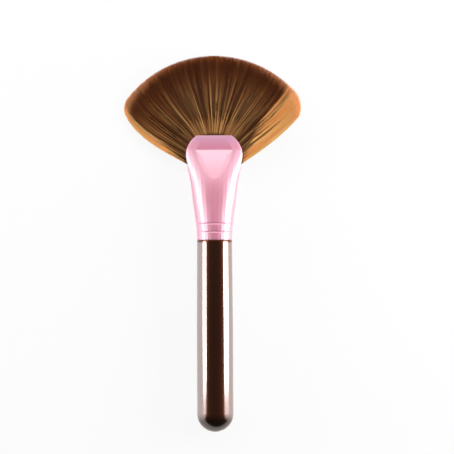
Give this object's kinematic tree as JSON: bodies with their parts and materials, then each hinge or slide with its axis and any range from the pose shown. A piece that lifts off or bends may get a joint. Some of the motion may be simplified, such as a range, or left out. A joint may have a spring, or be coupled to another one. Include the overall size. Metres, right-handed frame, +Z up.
{
  "type": "fan makeup brush",
  "caption": "Fan-shaped makeup brush with a short round lacquered handle, a flattened pink metal ferrule and a wide flat fan of brown hair with orange side edges.",
  "frame": {"origin": "bottom centre of the whole brush as it lies on a table", "axes": "+Y along the brush from the handle's round end to the tips of the hair, +Z up, +X across the fan, which is rolled about the brush's length until one corner meets the table"},
  "size_m": [0.0742, 0.16, 0.0154],
  "materials": {
    "lacquered_wood": "dark brown gloss lacquer",
    "pink_metal": "pink anodised, satin",
    "clear_resin": "cast, glossy",
    "brush_hair": "fine straight hair, dark brown with orange side edges"
  },
  "bodies": {
    "root": {"handle": "lacquered_wood", "ferrule": "pink_metal", "resin_plug": "clear_resin", "hair_fan": "brush_hair"}
  },
  "joints": []
}
